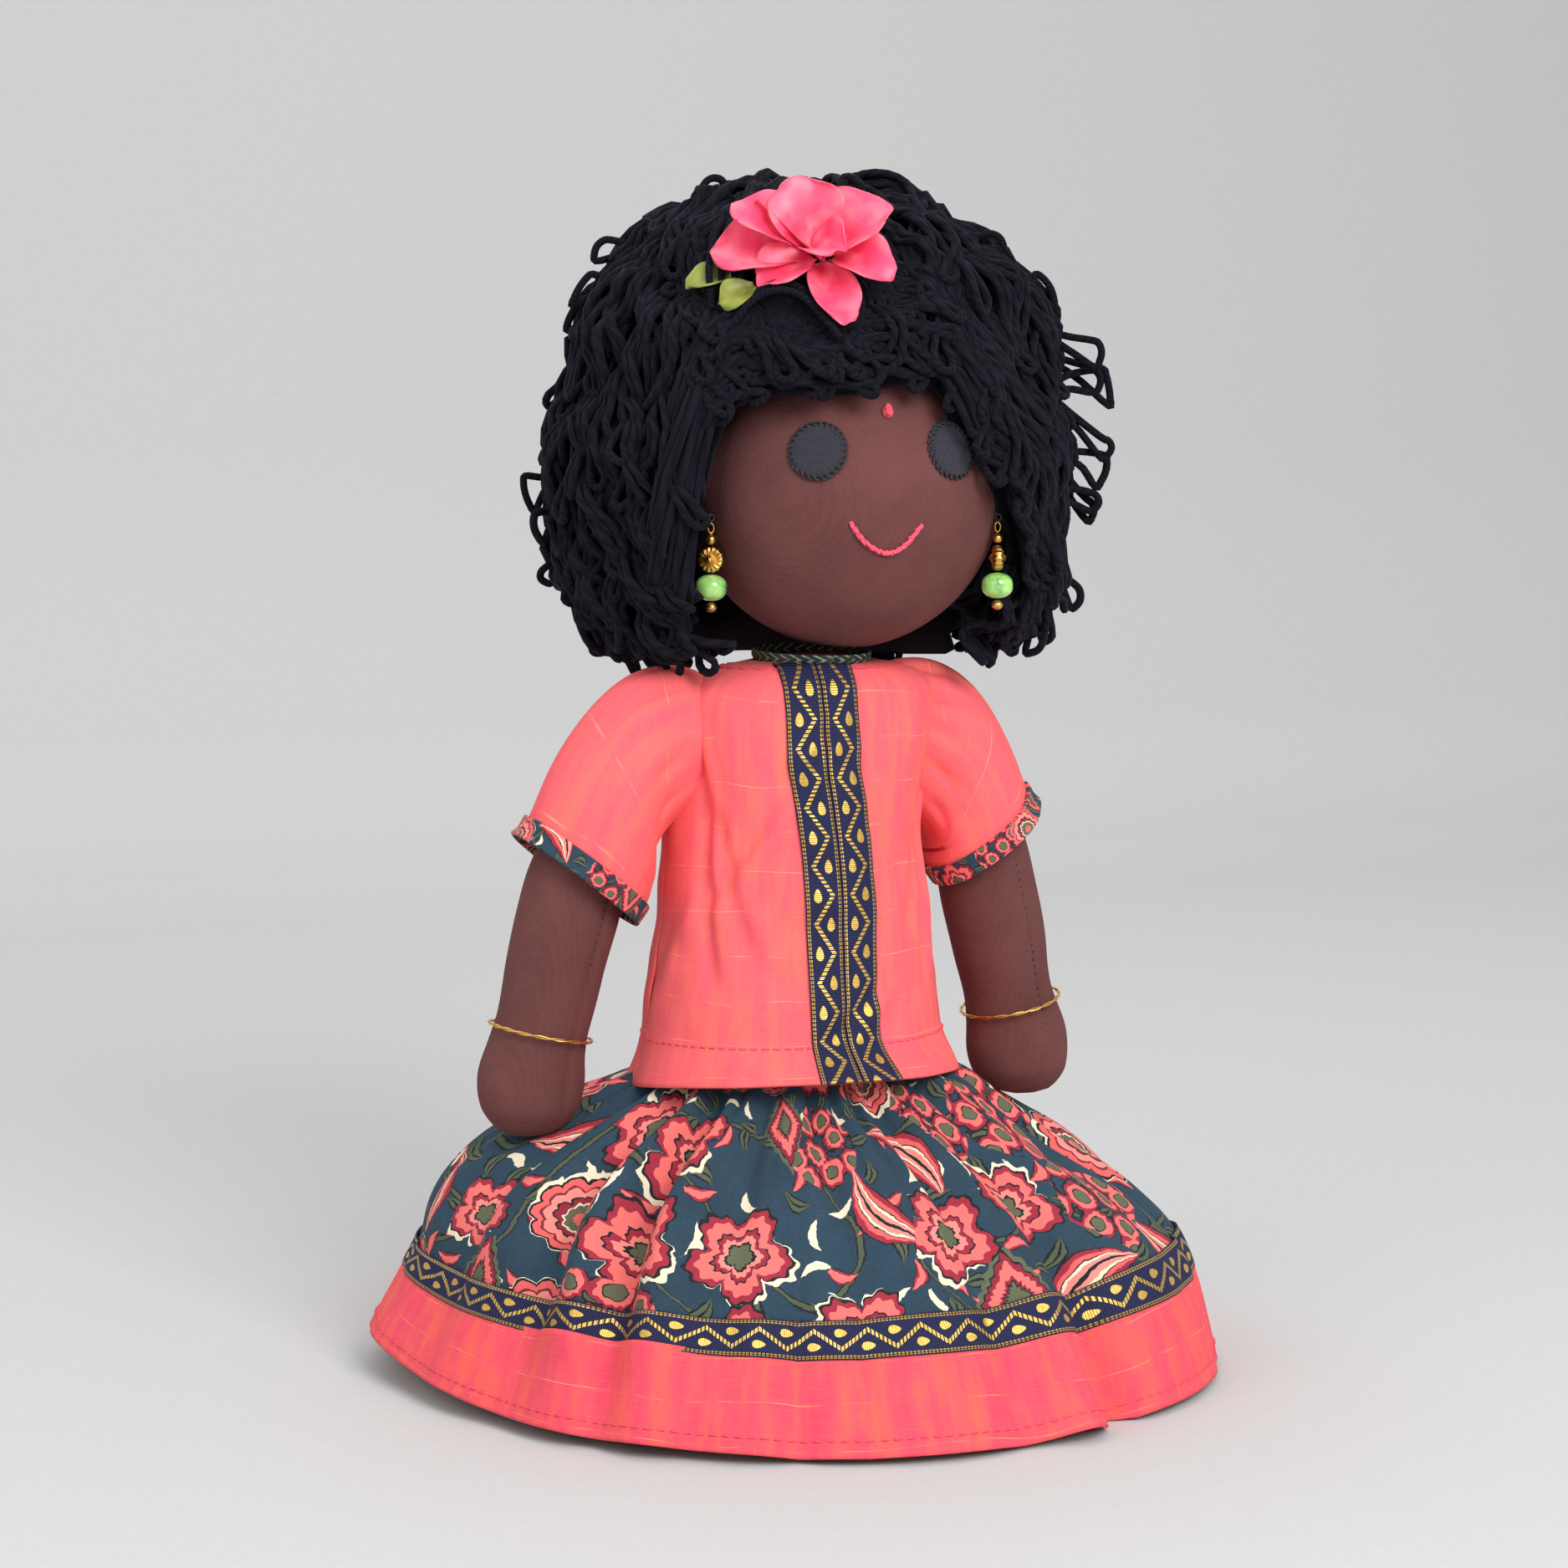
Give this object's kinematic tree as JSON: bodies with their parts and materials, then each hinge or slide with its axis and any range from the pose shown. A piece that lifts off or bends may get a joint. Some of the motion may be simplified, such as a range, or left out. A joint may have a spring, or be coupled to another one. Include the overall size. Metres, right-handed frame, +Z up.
{
  "type": "stuffed cloth puppet",
  "caption": "Stuffed cloth puppet of a village woman with wool hair, coral blouse and gathered skirt; turning head, swinging arms, earrings and bangles.",
  "frame": {"origin": "centre of the base disc's underside, on the surface the puppet stands on, below the middle of the skirt", "axes": "+Z up along the body to the hair; the face and blouse front look along -Y; +X is the puppet's own left"},
  "size_m": [0.2582, 0.2602, 0.3662],
  "materials": {
    "calico": "plain woven cotton",
    "board": "stiff pressed board",
    "skin": "tight brown woven cotton",
    "kalamkari": "printed cotton, dark with pale marks",
    "coral": "slub cotton with pale crosswise lines",
    "zari_ribbon": "navy ribbon with woven gold pattern",
    "teal_print": "block-printed cotton",
    "hem_cloth": "coral slub cotton",
    "felt": "wool felt",
    "pink_thread": "cotton embroidery thread",
    "wool": "thick black wool yarn",
    "petal_cloth": "satin cotton",
    "leaf_cloth": "olive satin cotton",
    "gold": "polished gilt",
    "bead_glass": "pale green glazed bead"
  },
  "bodies": {
    "doll": {"trunk": "calico", "base_disc": "board", "collar": "kalamkari", "blouse_front": "coral", "blouse_back": "coral", "ribbon_R": "zari_ribbon", "ribbon_L": "zari_ribbon", "waistband": "teal_print", "petticoat": "calico", "skirt": "teal_print", "skirt_ribbon": "zari_ribbon", "hem_band": "hem_cloth"},
    "neck": {"neck": "skin"},
    "head": {"head": "skin", "eye_R": "felt", "eye_L": "felt", "bindi": "pink_thread", "smile": "pink_thread", "hair_fringe": "wool", "hair_side_L": "wool", "hair_back_L": "wool", "hair_back_R": "wool", "hair_side_R": "wool", "hair_crown": "wool", "hair_lock": "wool", "flower_heart": "petal_cloth", "leaf_R": "leaf_cloth", "leaf_L": "leaf_cloth", "petal_1": "petal_cloth", "petal_2": "petal_cloth", "petal_3": "petal_cloth", "petal_4": "petal_cloth", "petal_5": "petal_cloth", "petal_6": "petal_cloth", "petal_7": "petal_cloth", "petal_8": "petal_cloth", "ear_stitch_R": "skin", "ear_stitch_L": "skin"},
    "earring_R": {"earring_R_wire": "gold", "earring_R_bead": "gold", "earring_R_disc": "gold", "earring_R_drum": "bead_glass", "earring_R_tip": "gold"},
    "arm_R": {"arm_R": "skin", "sleeve_R": "coral", "sleeve_band_R": "kalamkari"},
    "bangle_R": {"bangle_R": "gold"},
    "earring_L": {"earring_L_wire": "gold", "earring_L_bead": "gold", "earring_L_disc": "gold", "earring_L_drum": "bead_glass", "earring_L_tip": "gold"},
    "arm_L": {"arm_L": "skin", "sleeve_L": "coral", "sleeve_band_L": "kalamkari"},
    "bangle_L": {"bangle_L": "gold"}
  },
  "joints": [
    {"name": "head_turn", "type": "hinge", "parent": "doll", "child": "neck", "pos_m": [0.006, -0.003, 0.214], "axis": [0, 0, 1], "range_deg": [-35, 35]},
    {"name": "head_nod", "type": "hinge", "parent": "neck", "child": "head", "pos_m": [0.006, -0.003, 0.214], "axis": [1, 0, 0], "range_deg": [-8, 8], "deforming": ["collar"]},
    {"name": "earring_R_swing", "type": "hinge", "parent": "head", "child": "earring_R", "pos_m": [-0.03316, -0.02176, 0.263], "axis": [-0.9703, -0.2419, 0], "range_deg": [-12, 12]},
    {"name": "shoulder_R", "type": "hinge", "parent": "doll", "child": "arm_R", "pos_m": [-0.049, 0, 0.197], "axis": [-1, 0, 0], "range_deg": [-40, 110], "deforming": ["sleeve_R", "sleeve_band_R"]},
    {"name": "earring_L_swing", "type": "hinge", "parent": "head", "child": "earring_L", "pos_m": [0.05281, -0.03925, 0.263], "axis": [0.7986, -0.6018, 0], "range_deg": [-12, 12]},
    {"name": "shoulder_L", "type": "hinge", "parent": "doll", "child": "arm_L", "pos_m": [0.049, 0, 0.197], "axis": [-1, 0, 0], "range_deg": [-40, 110], "deforming": ["sleeve_L", "sleeve_band_L"]},
    {"name": "bangle_R_turn", "type": "hinge", "parent": "arm_R", "child": "bangle_R", "pos_m": [-0.0811, 0, 0.10693], "axis": [0.2087, 0, 0.978], "continuous": true},
    {"name": "bangle_L_turn", "type": "hinge", "parent": "arm_L", "child": "bangle_L", "pos_m": [0.07599, 0.00257, 0.10687], "axis": [-0.2113, -0.0342, 0.9768], "continuous": true}
  ]
}
